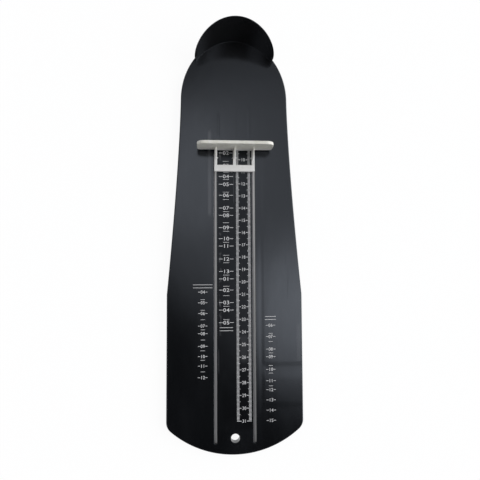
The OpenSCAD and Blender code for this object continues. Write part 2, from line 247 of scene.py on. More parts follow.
class Nodes:
    """Builds the node tree of one material."""

    def __init__(self, name, base, roughness, specular=0.5):
        self.material = bpy.data.materials.new(name)
        self.material.use_nodes = True
        self.material.diffuse_color = (*base, 1)
        self.tree = self.material.node_tree
        self.shader = self.tree.nodes["Principled BSDF"]
        self.shader.inputs["Base Color"].default_value = (*base, 1)
        self.shader.inputs["Roughness"].default_value = roughness
        self.shader.inputs["Specular IOR Level"].default_value = specular
        self.place = self.add("ShaderNodeTexCoord").outputs["Object"]

    def add(self, kind, inputs=None, **settings):
        return add_node(self.tree, kind, inputs, **settings)

    def feed(self, key, socket):
        self.tree.links.new(socket, self.shader.inputs[key])

    def axes(self):
        """Places along X, Y and Z."""
        return tuple(self.add("ShaderNodeSeparateXYZ", {0: self.place}).outputs)

    def math(self, operation, a, b=0.0):
        return self.add("ShaderNodeMath", {0: a, 1: b}, operation=operation).outputs[0]

    def times(self, a, b):
        return self.math("MULTIPLY", a, b)

    def minus(self, a, b):
        return self.math("SUBTRACT", a, b)

    def larger(self, a, b):
        return self.math("MAXIMUM", a, b)

    def apart(self, a, b):
        """Distance between two values."""
        return self.math("ABSOLUTE", self.minus(a, b))

    def noise(self, scale, detail=2.0, stretch=(1, 1, 1), roughness=0.5):
        """Noise in cycles per metre, stretched along the axes."""
        spot = self.add("ShaderNodeMapping", {"Vector": self.place, "Scale": stretch}).outputs[0]
        return self.add("ShaderNodeTexNoise", {"Vector": spot, "Scale": scale, "Detail": detail,
                                               "Roughness": roughness}).outputs[0]

    def ramp(self, value, low, high, to_low=0.0, to_high=1.0):
        """Smooth step of a value from one range to another."""
        return self.add("ShaderNodeMapRange", {0: value, 1: low, 2: high, 3: to_low, 4: to_high},
                        interpolation_type="SMOOTHSTEP").outputs[0]

    def blend(self, factor, color_a, color_b):
        node = self.add("ShaderNodeMix", {0: factor}, data_type="RGBA")
        for index, color in ((6, color_a), (7, color_b)):
            if isinstance(color, bpy.types.NodeSocket):
                self.tree.links.new(color, node.inputs[index])
            else:
                node.inputs[index].default_value = (*color, 1)
        return node.outputs[2]

    def bump(self, height, strength, distance, normal=None):
        inputs = {"Height": height, "Strength": strength, "Distance": distance}
        if normal is not None:
            inputs["Normal"] = normal
        return self.add("ShaderNodeBump", inputs).outputs[0]


# Marks on the deck and film in mm: place across, first and last distance from the
# heel wall, half width, and strength. A pale mark is paler than the plastic, and the deck's mark
# beside the left slot is a painted highlight; a ridge stands up.
DECK_PALE_MARKS = ((-20.2, 74, 148, 1.9, 1), (51.5, 232, 266, 2.2, 0.5))
DECK_RIDGES = ((-13.0, 60, 84, 1.3, 1), (12.3, 54, 84, 1.3, 0.6))
FILM_RUBS = ((-0.6, 108, 138, 0.5, 0.8), (-13.1, 252, 274, 0.45, 0.9), (7.1, 240, 266, 4.6, 0.6))
RIDGE_H = 0.045 * MM
# Share of a mark's half width at full strength, and the length over which its ends fade
MARK_CORE = 0.3
MARK_FADE = 5 * MM
DECK_TINT = (0.83, 0.90, 1.0)

# The outer rail sinks the deck only on the right, and the cross ribs mostly towards the toe
SINK_DEPTH = 0.06 * MM
RAIL_SINK_X = 21.4 * MM
RAIL_SINK_HALF_W = 2.8 * MM
RAIL_SINK_FADE = 70 * MM
RIB_SINK_HALF_W = 2.6 * MM
RIB_SINK_TAIL = 13 * MM


def streaks(n, x, y, marks):
    """1 along straight lengthwise marks that fade at their ends, 0 elsewhere."""
    total = 0.0
    for place, first, last, half, strength in marks:
        off = n.apart(x, place * MM)
        across = n.ramp(off, MARK_CORE * half * MM, half * MM, strength, 0)
        along = n.times(n.ramp(y, y_at(last * MM), y_at(last * MM) + MARK_FADE),
                        n.ramp(y, y_at(first * MM) - MARK_FADE, y_at(first * MM), 1, 0))
        total = n.larger(total, n.times(across, along))
    return total


def sink_marks(n, x, y):
    """Depth of the moulding's sinks over the outer rail and over the cross ribs."""
    rail = n.ramp(n.apart(x, RAIL_SINK_X), 0, RAIL_SINK_HALF_W, 0.45, 0)
    rail_end = y_at(SLOT_START + RAIL_SINK_FADE)
    rail = n.times(rail, n.ramp(y, rail_end, y_at(SLOT_START), 1, 0.2))
    steps = n.math("DIVIDE", n.minus(y_at(RIB_FIRST + RIB_T / 2), y), RIB_PITCH)
    past = n.times(n.minus(steps, n.math("ROUND", steps)), RIB_PITCH)
    across = n.math("MINIMUM", n.ramp(past, -RIB_SINK_HALF_W, RIB_SINK_HALF_W),
                    n.ramp(past, RIB_SINK_HALF_W, RIB_SINK_TAIL, 1, 0))
    # The ribs' sinks fade to the heel, to the toe tip, to the left and between the slots
    across = n.times(across, n.ramp(y, y_at(262 * MM), y_at(238 * MM), 0.8, 0.05))
    across = n.times(across, n.ramp(y, y_at(296 * MM), y_at(276 * MM), 0.45, 1))
    across = n.times(across, n.ramp(x, -25 * MM, 25 * MM, 0.15, 1))
    across = n.times(across, n.ramp(n.math("ABSOLUTE", x), 21 * MM, 25 * MM))
    return n.math("ADD", rail, across)


def board_material():
    """Glossy black styrene: mould grain, sink marks over the ribs, painted light at the foot of the
    heel wall, pale marks with one painted highlight, and fine rubs.
    """
    clean, smeared = (0.0016, 0.0018, 0.0022), (0.0028, 0.0031, 0.0037)
    # The first of the next three colours is painted light at the foot of the heel wall
    heel_painted_light, rubbed, speck = (0.009, 0.0092, 0.0098), (0.034, 0.034, 0.035), (0.14, 0.14, 0.14)
    n = Nodes("board_plastic", (0.0022, 0.0025, 0.003), 0.15, 0.58)
    n.shader.inputs["Specular Tint"].default_value = (*DECK_TINT, 1)
    x, y, _ = n.axes()
    normal = n.bump(sink_marks(n, x, y), 1.0, -SINK_DEPTH)
    normal = n.bump(streaks(n, x, y, DECK_RIDGES), 1.0, RIDGE_H, normal)
    # Slow waviness of the moulding, then its fine grain
    normal = n.bump(n.noise(26, 2, (1.6, 0.8, 1)), 1.0, 0.10 * MM, normal)
    normal = n.bump(n.noise(1900, 3), 0.1, 0.03 * MM, normal)
    # Fine lengthwise rubs
    rubs = n.ramp(n.noise(900, 3, (1, 0.02, 1)), 0.62, 0.72)
    rubs = n.times(rubs, n.ramp(n.noise(14, 3), 0.45, 0.65))
    normal = n.bump(rubs, 0.15, -0.01 * MM, normal)
    n.feed("Normal", normal)
    smears = n.noise(30, 4, (1, 0.35, 1), 0.6)
    rough = n.ramp(smears, 0.35, 0.7, 0.135, 0.185)
    n.feed("Roughness", n.math("ADD", rough, n.times(rubs, 0.08)))
    tone = n.blend(n.ramp(smears, 0.3, 0.7), clean, smeared)
    # Painted light that makes the deck paler towards the foot of the heel wall, pale marks, one of
    # them a painted highlight, then single specks
    tone = n.blend(n.ramp(y, y_at(30 * MM), y_at(6 * MM)), tone, heel_painted_light)
    # Painted highlight: the pale mark beside the left slot stands in for a light streak mirrored in
    # the deck
    tone = n.blend(streaks(n, x, y, DECK_PALE_MARKS), tone, rubbed)
    specks = n.ramp(n.noise(2600, 1), 0.765, 0.80)
    specks = n.times(specks, n.ramp(n.noise(40, 2), 0.5, 0.7))
    n.feed("Base Color", n.blend(n.times(specks, 0.35), tone, speck))
    return n.material


def slider_material():
    """Satin styrene, near white on the frame and yellowed on the toe plate, with dirty grain."""
    frame_clean, plate_clean = (0.80, 0.795, 0.775), (0.79, 0.78, 0.72)
    frame_aged, plate_aged = (0.755, 0.75, 0.725), (0.71, 0.70, 0.615)
    grime = (0.42, 0.40, 0.34)
    n = Nodes("slider_plastic", (0.76, 0.745, 0.69), 0.36)
    height = n.axes()[2]
    plate = n.ramp(height, DECK_Z + 3.4 * MM, DECK_Z + 8 * MM)
    clean = n.blend(plate, frame_clean, plate_clean)
    aged = n.blend(plate, frame_aged, plate_aged)
    tone = n.blend(n.ramp(n.noise(260, 4, roughness=0.6), 0.3, 0.7), clean, aged)
    dirt = n.ramp(n.noise(900, 3), 0.64, 0.74)
    n.feed("Base Color", n.blend(n.times(dirt, 0.25), tone, grime))
    n.feed("Roughness", n.ramp(n.noise(500, 3), 0.3, 0.7, 0.3, 0.44))
    normal = n.bump(n.noise(120, 2), 0.6, 0.08 * MM)
    n.feed("Normal", n.bump(n.noise(2200, 2), 0.15, 0.03 * MM, normal))
    return n.material


def film_material():
    """Matt black film that mirrors less than the board, rubbed by the slider."""
    black, scuffed = (0.0024, 0.0026, 0.003), (0.05, 0.05, 0.052)
    smudged, rubbed = (0.16, 0.16, 0.165), (0.035, 0.036, 0.038)
    n = Nodes("film", (0.0026, 0.0028, 0.0031), 0.2, 0.24)
    n.shader.inputs["Specular Tint"].default_value = (*DECK_TINT, 1)
    x, y, _ = n.axes()
    patches = n.noise(45, 3)
    rubs = n.ramp(n.noise(1100, 3, (1, 0.02, 1)), 0.55, 0.7)
    rubs = n.times(rubs, n.ramp(patches, 0.45, 0.65))
    tone = n.blend(n.times(rubs, 0.12), black, scuffed)
    # Worn print beside the narrow column, and the paler lines where the slider's legs run
    beside = n.ramp(n.apart(x, -11.8 * MM), 0.4 * MM, 1.3 * MM, 1, 0)
    smudges = n.times(beside, n.ramp(n.noise(210, 2), 0.5, 0.72))
    smudges = n.times(smudges, n.ramp(y, y_at(250 * MM), y_at(225 * MM)))
    tone = n.blend(n.times(smudges, 0.5), tone, smudged)
    n.feed("Base Color", n.blend(streaks(n, x, y, FILM_RUBS), tone, rubbed))
    n.feed("Roughness", n.ramp(patches, 0.3, 0.7, 0.17, 0.24))
    n.feed("Normal", n.bump(n.noise(1500, 2), 0.12, 0.02 * MM))
    return n.material


def ink_material():
    """Screen print that is a little thin and worn in places."""
    fresh, worn = (0.66, 0.66, 0.66), (0.33, 0.33, 0.33)
    n = Nodes("print_ink", fresh, 0.5)
    wear = n.ramp(n.noise(1500, 3, roughness=0.6), 0.5, 0.72)
    wear = n.times(wear, n.ramp(n.noise(90, 2), 0.35, 0.65))
    n.feed("Base Color", n.blend(wear, fresh, worn))
    n.feed("Roughness", n.ramp(n.noise(700, 2), 0.3, 0.7, 0.42, 0.6))
    n.feed("Normal", n.bump(n.noise(3000, 2), 0.2, 0.02 * MM))
    return n.material


# ---------------------------------------------------------------- the board
HEEL_STEPS, FLARE_STEPS, CORNER_STEPS, TOE_STEPS = 48, 30, 8, 28
SLOT_STEPS, HOLE_STEPS = 10, 48


def half_outline(inset):
    """Right half of the board's outline, drawn in by inset, from heel to toe."""
    points = []
    for i in range(HEEL_STEPS + 1):
        turn = math.pi / 2 * i / HEEL_STEPS
        points.append(((HEEL_W / 2 - inset) * math.sin(turn),
                       HEEL_CENTRE_Y + (HEEL_CURVE - inset) * math.cos(turn)))
    for i in range(1, FLARE_STEPS + 1):
        part = i / FLARE_STEPS
        points.append((HEEL_W / 2 - inset + (BOARD_W - HEEL_W) / 2 * part ** FLARE_POWER,
                       HEEL_CENTRE_Y - FLARE_LEN * part))
    radius = CORNER_R - inset
    centre_x = BOARD_W / 2 - inset - radius
    drop = math.sqrt((TOE_R - inset - radius) ** 2 - centre_x ** 2)
    corner_turn = math.atan2(drop, centre_x)
    for i in range(CORNER_STEPS + 1):
        turn = corner_turn * i / CORNER_STEPS
        points.append((centre_x + radius * math.cos(turn),
                       TOE_CENTRE_Y - drop - radius * math.sin(turn)))
    for i in range(1, TOE_STEPS + 1):
        turn = corner_turn + (math.pi / 2 - corner_turn) * i / TOE_STEPS
        points.append(((TOE_R - inset) * math.cos(turn),
                       TOE_CENTRE_Y - (TOE_R - inset) * math.sin(turn)))
    return points


def outline(inset, z):
    """Whole outline of the board, drawn in by inset, at a height."""
    half = half_outline(inset)
    left = [(-x, y) for x, y in half[-2:0:-1]]
    return [(x, y, z) for x, y in half + left]


def slot_outline(x, grow, z):
    """Stadium round one slot, made larger by grow."""
    radius = SLOT_W / 2 + grow
    ends = ((y_at(SLOT_START + SLOT_W / 2), 0), (y_at(SLOT_END - SLOT_W / 2), math.pi))
    return [(x + radius * math.cos(start + math.pi * i / SLOT_STEPS),
             y + radius * math.sin(start + math.pi * i / SLOT_STEPS), z)
            for y, start in ends for i in range(SLOT_STEPS + 1)]


def hole_outline(radius, z):
    """Circle round the hanging hole."""
    turns = [2 * math.pi * i / HOLE_STEPS for i in range(HOLE_STEPS)]
    return [(radius * math.cos(turn), y_at(HOLE_S) + radius * math.sin(turn), z) for turn in turns]


def board_shell():
    """Deck, skirt, slots and the hanging hole with its collar, as one closed skin."""
    bm = bmesh.new()
    under = DECK_Z - DECK_T
    side = [outline(along, DECK_Z - down) for along, down in quarter(DECK_EDGE_R, 6)]
    side += [outline(along, down) for along, down in reversed(quarter(FOOT_EDGE_R, 3))]
    side += [outline(SKIRT_T - along, down) for along, down in quarter(FOOT_EDGE_R, 3)]
    side += [outline(SKIRT_T + along, under - down)
             for along, down in reversed(quarter(UNDER_FILLET, 3))]
    side = [ring_verts(bm, points) for points in side]
    bridge_all(bm, side)
    tops, unders = [side[0]], [side[-1]]
    for x in (-SLOT_X, SLOT_X):
        wall = [slot_outline(x, along, DECK_Z - down) for along, down in quarter(SLOT_EDGE_R, 3)]
        wall += [slot_outline(x, along, under + down)
                 for along, down in reversed(quarter(SLOT_EDGE_R, 2))]
        wall = [ring_verts(bm, points) for points in wall]
        bridge_all(bm, wall)
        tops.append(wall[0])
        unders.append(wall[-1])
    wall = [(HOLE_R + along, DECK_Z - down) for along, down in quarter(SLOT_EDGE_R, 3)]
    wall += [(HOLE_R + along, down) for along, down in reversed(quarter(SLOT_EDGE_R, 2))]
    wall += [(HOLE_R + COLLAR_T, 0), (HOLE_R + COLLAR_T, under)]
    wall = [ring_verts(bm, hole_outline(radius, z)) for radius, z in wall]
    bridge_all(bm, wall)
    tops.append(wall[0])
    unders.append(wall[-1])
    fill_flat(bm, tops)
    fill_flat(bm, unders)
    return bm


def heel_wall():
    """Upright wall along the heel outline, thinning to an arched rim that is round outside."""
    steps, rim_steps, face_steps, fillet_steps = 120, 5, 6, 4
    foot = DECK_Z - WALL_INSET
    root = DECK_Z - WALL_ROOT
    rim_depth = 0.85 * WALL_RIM_T

    def on_wall(x, depth, z):
        """Point at a depth behind the wall's outer face."""
        depth += WALL_INSET
        reach = max(1 - (x / (HEEL_W / 2 - depth)) ** 2, 0.0)
        return (x, HEEL_CENTRE_Y + (HEEL_CURVE - depth) * math.sqrt(reach), z)

    bm = bmesh.new()
    columns = []
    for i in range(steps + 1):
        turn = math.pi * i / steps
        across, up = math.cos(turn), max(math.sin(turn), 0.0)
        flat_end = i in (0, steps)

        def rim(shrink):
            """Place across and height of the arch, drawn in by shrink."""
            half = WALL_W / 2 - (WALL_RIM_T if flat_end else shrink)
            return (math.copysign(abs(across) ** (2 / RIM_ACROSS), across) * half,
                    foot + (WALL_H + WALL_INSET - shrink) * up ** (2 / RIM_RISE))

        x, top = rim(WALL_RIM_T)
        column = [on_wall(x, 0, root)]
        for k in range(rim_steps + 1):
            roll = math.pi / 2 * k / rim_steps
            rim_x, rim_z = rim(WALL_RIM_T * (1 - math.sin(roll)))
            column.append(on_wall(rim_x, rim_depth * (1 - math.cos(roll)), rim_z))
        # The inner face thickens all the way down and draws in over its upper third
        fillet = min(WALL_FILLET, 0.6 * (top - foot))
        crest_x, crest_z = rim(0)
        for k in range(face_steps):
            part = k / face_steps
            column.append(on_wall(crest_x + (x - crest_x) * min(3 * part, 1),
                                  WALL_RIM_T + (WALL_T - WALL_RIM_T) * part,
                                  crest_z + (foot + fillet - crest_z) * part))
        for k in range(fillet_steps + 1):
            lean = math.pi / 2 * k / fillet_steps
            column.append(on_wall(x, WALL_T + fillet * (1 - math.cos(lean)),
                                  foot + fillet * (1 - math.sin(lean))))
        column.append(on_wall(x, WALL_T + fillet, root))
        columns.append(ring_verts(bm, column))
    bridge_all(bm, columns)
    for end in (columns[0], columns[-1]):
        bm.faces.new(end)
    weld(bm)
    return bm


def rib(x0, x1, s0, s1):
    """Rib under the deck, reaching a little into it."""
    overlap = 0.3 * MM
    plan = box_outline(x0, x1, y_at(s1), y_at(s0))
    bm = prism(plan, "z", RIB_LIFT, DECK_Z - DECK_T + overlap, RIB_EDGE_R, 1)
    return new_object("rib", bm, None)


def half_width_at(s):
    """Half the board's width at a distance from the heel wall, for the ribs' ends."""
    y = y_at(s)
    half = half_outline(SKIRT_T / 2)
    for (x0, y0), (x1, y1) in zip(half, half[1:]):
        if y1 <= y <= y0:
            return x0 + (x1 - x0) * (y0 - y) / max(y0 - y1, 1e-9)
    return BOARD_W / 2 - SKIRT_T / 2


def ribs():
    """Rails beside both slots, and cross ribs that leave the blades' channels free."""
    made = []
    inner = SLOT_X - SLOT_W / 2
    lap = 0.3 * RIB_T
    toe_s = BOARD_LEN - WALL_T - SKIRT_T / 2
    # The rib at the slots' start, into which the rails reach
    start_rib = SLOT_START - 2 * RIB_T
    rail_start = start_rib + 0.8 * RIB_T
    for side in (-1, 1):
        for x in (side * (inner - RIB_T / 2), side * (CHANNEL_OUTER + RIB_T / 2)):
            fall = TOE_R - math.sqrt(TOE_R ** 2 - x ** 2)
            made.append(rib(x - RIB_T / 2, x + RIB_T / 2, rail_start, toe_s - fall))
    s = RIB_FIRST
    while s < SLOT_END:
        half = half_width_at(s + RIB_T / 2)
        if s < SLOT_START - RIB_T:
            made.append(rib(-half, half, s, s + RIB_T))
        else:
            made.append(rib(-inner + RIB_T - lap, inner - RIB_T + lap, s, s + RIB_T))
            for side in (-1, 1):
                ends = sorted((side * (CHANNEL_OUTER + RIB_T - lap), side * half))
                made.append(rib(*ends, s, s + RIB_T))
        s += RIB_PITCH
    half = half_width_at(start_rib + RIB_T / 2)
    made.append(rib(-half, half, start_rib, start_rib + RIB_T))
    return made


def make_board(material):
    board = new_object("board_moulding", board_shell(), material)
    wall = new_object("heel_wall_part", heel_wall(), material)
    unite(board, [wall] + ribs())
    soften(board, 35)
    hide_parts("base_board")
    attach(board, "board")


# ---------------------------------------------------------------- the slider
PLATE_T = 2.6 * MM
PLATE_TOP_R = 6 * MM
PLATE_LOW_R = 2.5 * MM
WING_LIFT = 2.6 * MM
LEG_T = 2.4 * MM
LEG_H = 2.6 * MM
GUSSET_H = 11 * MM
GUSSET_LEN = 8 * MM
GUSSET_T = 1.2 * MM
FRAME_LEN = 17.8 * MM
BAR_W = 5.4 * MM
POINTER_REACH = 9 * MM
POINTER_LEN = 0.9 * MM
POINTER_H = 1.5 * MM
SLIDE_GAP = 0.4 * MM
BLADE_GAP = 0.3 * MM
BLADE_LEN = 14.4 * MM
HOOK_REACH = 1.4 * MM
HOOK_EDGE_H = 0.6 * MM
HOOK_GAP = 0.3 * MM

# Edge roundings of the slider
PLATE_EDGE_R = 0.45 * MM
BLOCK_EDGE_R = 0.3 * MM
LEG_EDGE_R = 0.35 * MM
GUSSET_EDGE_R = 0.3 * MM
BAR_EDGE_R = 0.4 * MM
HOOK_EDGE_R = 0.12 * MM
POINTER_EDGE_R = 0.08 * MM
# Faces of solids that are joined stay this far from lying in one plane
LAP = 0.05 * MM

PLATE_FRONT_Y = slider_hi.y
PLATE_BACK_Y = PLATE_FRONT_Y - PLATE_T
PLATE_MIDDLE_Y = PLATE_BACK_Y + PLATE_T / 2
PLATE_LOW_Z = DECK_Z + WING_LIFT
BAR_END_Y = PLATE_BACK_Y - FRAME_LEN
BLADE_T = SLOT_W - 2 * BLADE_GAP
FRAME_HALF_W = SLOT_X + BLADE_T / 2
LEG_LOW = DECK_Z + SLIDE_GAP
LEG_TOP = LEG_LOW + LEG_H
BLADE_LOW = slider_lo.z
BLADE_START_Y = y_at(SLOT_START + BLADE_GAP)
BLADE_END_Y = BLADE_START_Y - BLADE_LEN


def plate_outline(inset):
    """Toe plate seen from the toe end, drawn in by inset."""
    half, top, low = slider_hi.x - inset, slider_hi.z - inset, PLATE_LOW_Z + inset
    top_r, low_r = PLATE_TOP_R - inset, PLATE_LOW_R - inset
    return (arc(half - top_r, top - top_r, top_r, 0, 90, 10)
            + arc(top_r - half, top - top_r, top_r, 90, 180, 10)
            + arc(low_r - half, low + low_r, low_r, 180, 270, 6)
            + arc(half - low_r, low + low_r, low_r, 270, 360, 6))


def toe_plate():
    """Upright plate with rounded corners and edges."""
    bm = bmesh.new()
    edge = quarter(PLATE_EDGE_R, 5)
    face_pairs = [(PLATE_FRONT_Y - down, along) for along, down in edge]
    face_pairs += [(PLATE_BACK_Y + down, along) for along, down in reversed(edge)]
    rings = [ring_verts(bm, [(x, y, z) for x, z in plate_outline(inset)]) for y, inset in face_pairs]
    bridge_all(bm, rings)
    bm.faces.new(rings[0])
    bm.faces.new(rings[-1])
    return bm


def plate_block():
    """Block under the middle of the toe plate, on which the frame stands."""
    face = box_outline(-FRAME_HALF_W, FRAME_HALF_W, LEG_LOW, PLATE_LOW_Z + PLATE_LOW_R)
    return prism(face, "y", PLATE_BACK_Y, PLATE_FRONT_Y, BLOCK_EDGE_R)


def leg(x):
    """Leg from the toe plate to the cross bar, with its left side at x."""
    side = box_outline(BAR_END_Y + LAP, PLATE_MIDDLE_Y, LEG_LOW, LEG_TOP - LAP / 2)
    return prism(side, "x", x, x + LEG_T, LEG_EDGE_R)


def gusset(x):
    """Web on the middle of a leg that props the toe plate."""
    tip_y = PLATE_BACK_Y - GUSSET_LEN
    side = [(PLATE_MIDDLE_Y, LEG_LOW + LAP), (PLATE_MIDDLE_Y, DECK_Z + GUSSET_H + PLATE_T / 2),
            (PLATE_BACK_Y, DECK_Z + GUSSET_H), (tip_y, LEG_TOP - 2 * LAP), (tip_y, LEG_LOW + LAP)]
    return prism(side, "x", x + (LEG_T - GUSSET_T) / 2, x + (LEG_T + GUSSET_T) / 2, GUSSET_EDGE_R)


def cross_bar():
    """Bar that ties the legs' ends."""
    plan = box_outline(-FRAME_HALF_W, FRAME_HALF_W, BAR_END_Y, BAR_END_Y + BAR_W)
    return prism(plan, "z", LEG_LOW, LEG_TOP, BAR_EDGE_R, 3)


def blade(side):
    """Blade that runs in one slot."""
    x, radius = side * SLOT_X, BLADE_T / 2
    plan = (arc(x, BLADE_START_Y - radius, radius, 0, 180, 8)
            + arc(x, BLADE_END_Y + radius, radius, 180, 360, 8))
    return prism(plan, "z", BLADE_LOW, LEG_LOW + LEG_H / 2)


def hook(side):
    """Snap hook on the outside of a blade, under the deck."""
    top = DECK_Z - DECK_T - HOOK_GAP
    inner = side * (SLOT_X - BLADE_T / 2 + LAP)
    outer = side * (SLOT_X + BLADE_T / 2 + HOOK_REACH)
    end = [(inner, top), (outer, top), (outer, top - HOOK_EDGE_H), (inner, BLADE_LOW + LAP / 2)]
    return prism(end, "y", BLADE_END_Y + BLADE_T, BLADE_START_Y - BLADE_T, HOOK_EDGE_R, 1)


def pointers(side):
    """Reading pointers of one window of the frame, on its outer and its middle leg."""
    made = []
    y = PLATE_FRONT_Y - POINTER_REACH
    for root_x, way in ((side * (FRAME_HALF_W - LEG_T), -side), (side * LEG_T / 2, side)):
        base_x = root_x - way * LEG_T / 4
        plan = [(base_x, y - POINTER_LEN), (root_x + way * POINTER_LEN, y), (base_x, y + POINTER_LEN)]
        made.append(prism(plan, "z", LEG_LOW, LEG_LOW + POINTER_H, POINTER_EDGE_R, 1))
    return made


def slider_parts():
    """Closed solids that overlap a little and are joined into the one moulding."""
    solids = [plate_block()]
    for x in (-FRAME_HALF_W, -LEG_T / 2, FRAME_HALF_W - LEG_T):
        solids += [leg(x), gusset(x)]
    solids.append(cross_bar())
    for side in (-1, 1):
        solids += [blade(side), hook(side)] + pointers(side)
    return [new_object("slider_part", bm, None) for bm in solids]


def make_slider(material):
    slider = new_object("slider_moulding", toe_plate(), material)
    unite(slider, slider_parts())
    soften(slider, 40)
    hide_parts("slider")
    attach(slider, "toe_slider")


# ---------------------------------------------------------------- prints
TICK_T = 0.38 * MM
THIN_TICK_T = 0.3 * MM
FINE_TICK_T = 0.45 * MM
HEADING_H = 2.8 * MM
LEFT_X, RIGHT_X, INNER_X, LADDER_X = -25.8 * MM, 28.7 * MM, -6.9 * MM, 7.1 * MM

# Height of the digits, width of a pair of them, and length of the ticks beside them
DECK_TEXT = (2.6 * MM, 3.4 * MM, 1.7 * MM)
FILM_TEXT = (3 * MM, 4.9 * MM, 3 * MM)

# The ladder runs in millimetres, its numbers in centimetres. Every fifth and every tenth
# tick is longer than the rest by FIVE_MORE and TEN_MORE.
LADDER_W = 11.7 * MM
LADDER_START, LADDER_END = 91, 310
FIRST_CM = 10
LADDER_TEXT = (2.6 * MM, 3.2 * MM)
LADDER_TICK, FIVE_MORE, TEN_MORE = 2.05 * MM, 0.7 * MM, 1.6 * MM

# Foot lengths in millimetres of the whole and half sizes; a half size is negative
WOMENS = ((4, 208), (-4, 214), (5, 216.5), (-5, 222.5), (6, 225), (-6, 230), (7, 235),
          (-7, 238), (8, 241), (-8, 246), (9, 251), (-9, 254.5), (10, 259), (-10, 262),
          (11, 266.5), (-11, 271), (12, 275.5))
MENS = ((6, 235), (-6, 241.5), (7, 244), (-7, 248), (8, 254), (-8, 257), (9, 260), (-9, 267),
        (10, 270), (-10, 273), (11, 279), (-11, 283), (12, 286), (13, 294), (14, 302), (15, 310))
CHILDRENS = ((2, 94.5), (-2, 101.5), (3, 105), (-3, 110.5), (4, 114), (-4, 116.5), (5, 120.5),
             (-5, 127), (6, 129.5), (-6, 133), (7, 140), (-7, 143), (8, 146), (-8, 152),
             (9, 156), (-9, 159), (10, 165), (-10, 168), (11, 171), (-11, 178.5), (12, 181.5),
             (-12, 184.5), (13, 191.5), (-13, 194.5), (1, 197.5), (-1, 203.5), (2, 206.5),
             (-2, 211), (3, 216.5), (-3, 219.5), (4, 222.5), (-4, 230), (5, 232.5))

# Width of a digit as a share of its pair's, and growth of the strokes of a digit of size 1
DIGIT_SHARE = 0.46
STROKE_GROW = 0.009


class Glyph:
    """One digit as a flat solid of unit depth, with its size and middle."""

    def __init__(self, digit):
        curve = bpy.data.curves.new("digit", "FONT")
        curve.body = digit
        curve.size = 1
        curve.resolution_u = 3
        curve.extrude = 0.5
        curve.offset = STROKE_GROW
        text = bpy.data.objects.new("digit", curve)
        scene.collection.objects.link(text)
        bpy.context.view_layer.update()
        ready = text.evaluated_get(bpy.context.evaluated_depsgraph_get())
        self.mesh = bpy.data.meshes.new_from_object(ready)
        bpy.data.objects.remove(text)
        bpy.data.curves.remove(curve)
        xs = [v.co.x for v in self.mesh.vertices]
        ys = [v.co.y for v in self.mesh.vertices]
        self.wide, self.high = max(xs) - min(xs), max(ys) - min(ys)
        self.middle = Vector((max(xs) + min(xs), max(ys) + min(ys), 0)) / 2


class Print:
    """Flat ink marks gathered in one mesh, INK_T thick."""

    def __init__(self, floor_z):
        self.bm = bmesh.new()
        self.floor_z = floor_z

    def tick(self, x, s, length, line):
        y = y_at(s)
        box = box_outline(x - length / 2, x + length / 2, y - line / 2, y + line / 2)
        ends = [ring_verts(self.bm, [(px, py, z) for px, py in box])
                for z in (self.floor_z, self.floor_z + INK_T)]
        bridge(self.bm, *ends)
        for end in ends:
            self.bm.faces.new(end)

    def number(self, value, x, s, height, pair_w):
        """Two digits of one pitch, so that a narrow 1 keeps its width."""
        zero = Glyph("0")
        scale_x = DIGIT_SHARE * pair_w / zero.wide
        scale_y = height / zero.high
        for side, digit in zip((-1, 1), f"{value:02d}"):
            drawn = Glyph(digit)
            centre = x + side * (1 - DIGIT_SHARE) * pair_w / 2
            for v in drawn.mesh.vertices:
                v.co = Vector((centre + (v.co.x - drawn.middle.x) * scale_x,
                               y_at(s) + (v.co.y - drawn.middle.y) * scale_y,
                               self.floor_z + (v.co.z + 0.5) * INK_T))
            self.bm.from_mesh(drawn.mesh)
            bpy.data.meshes.remove(drawn.mesh)
        bpy.data.meshes.remove(zero.mesh)

    def heading(self, x, s, length):
        """Plain pair of lines above a column."""
        for side in (-1, 1):
            self.tick(x, s + side * (HEADING_H - TICK_T) / 2, length, TICK_T)

    def finish(self, name, node, material):
        weld(self.bm)
        obj = new_object(name, self.bm, material, smooth=False)
        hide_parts(node)
        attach(obj, "board")


def size_column(sizes, x, floor_z, digit_h, pair_w, side_tick):
    """Numbers of the whole sizes with a tick on each side, and ticks of the half sizes."""
    column = Print(floor_z)
    reach = (pair_w + side_tick) / 2 + TICK_T
    for size, length in sizes:
        s = length * MM
        if size < 0:
            column.tick(x, s, pair_w, THIN_TICK_T)
        else:
            column.number(size, x, s, digit_h, pair_w)
            column.tick(x - reach, s, side_tick, TICK_T)
            column.tick(x + reach, s, side_tick, TICK_T)
    return column


def ladder_print():
    """Ticks of the millimetres on both sides of the numbers of the centimetres."""
    ladder = Print(FILM_Z)
    for mm in range(LADDER_START, LADDER_END + 1):
        more = TEN_MORE if mm % 10 == 0 else FIVE_MORE if mm % 5 == 0 else 0
        length = LADDER_TICK + more
        for side in (-1, 1):
            ladder.tick(LADDER_X + side * (LADDER_W - length) / 2, mm * MM, length, FINE_TICK_T)
    for cm in range(FIRST_CM, LADDER_END // 10 + 1):
        ladder.number(cm, LADDER_X, 10 * cm * MM, *LADDER_TEXT)
    return ladder


def make_prints(material):
    # Name, sizes, place across, ground, text, and place and length of the heading
    columns = (("womens", WOMENS, LEFT_X, DECK_Z, DECK_TEXT, 203.4 * MM, 15.6 * MM),
               ("mens", MENS, RIGHT_X, DECK_Z, DECK_TEXT, 229.2 * MM, 8.8 * MM),
               ("childrens", CHILDRENS, INNER_X, FILM_Z, FILM_TEXT, 237.7 * MM, 10.8 * MM))
    for name, sizes, x, ground_z, text, heading_s, heading_len in columns:
        column = size_column(sizes, x, ground_z, *text)
        column.heading(x, heading_s, heading_len)
        column.finish(f"{name}_print", f"{name}_scale", material)
    ladder_print().finish("ladder_print", "centimetre_ladder", material)


# ---------------------------------------------------------------- stage
CAMERA_AT = (-0.02344, -0.02579, 0.39532)
CAMERA_TURN_DEG = (3.906, -4.080, -0.296)


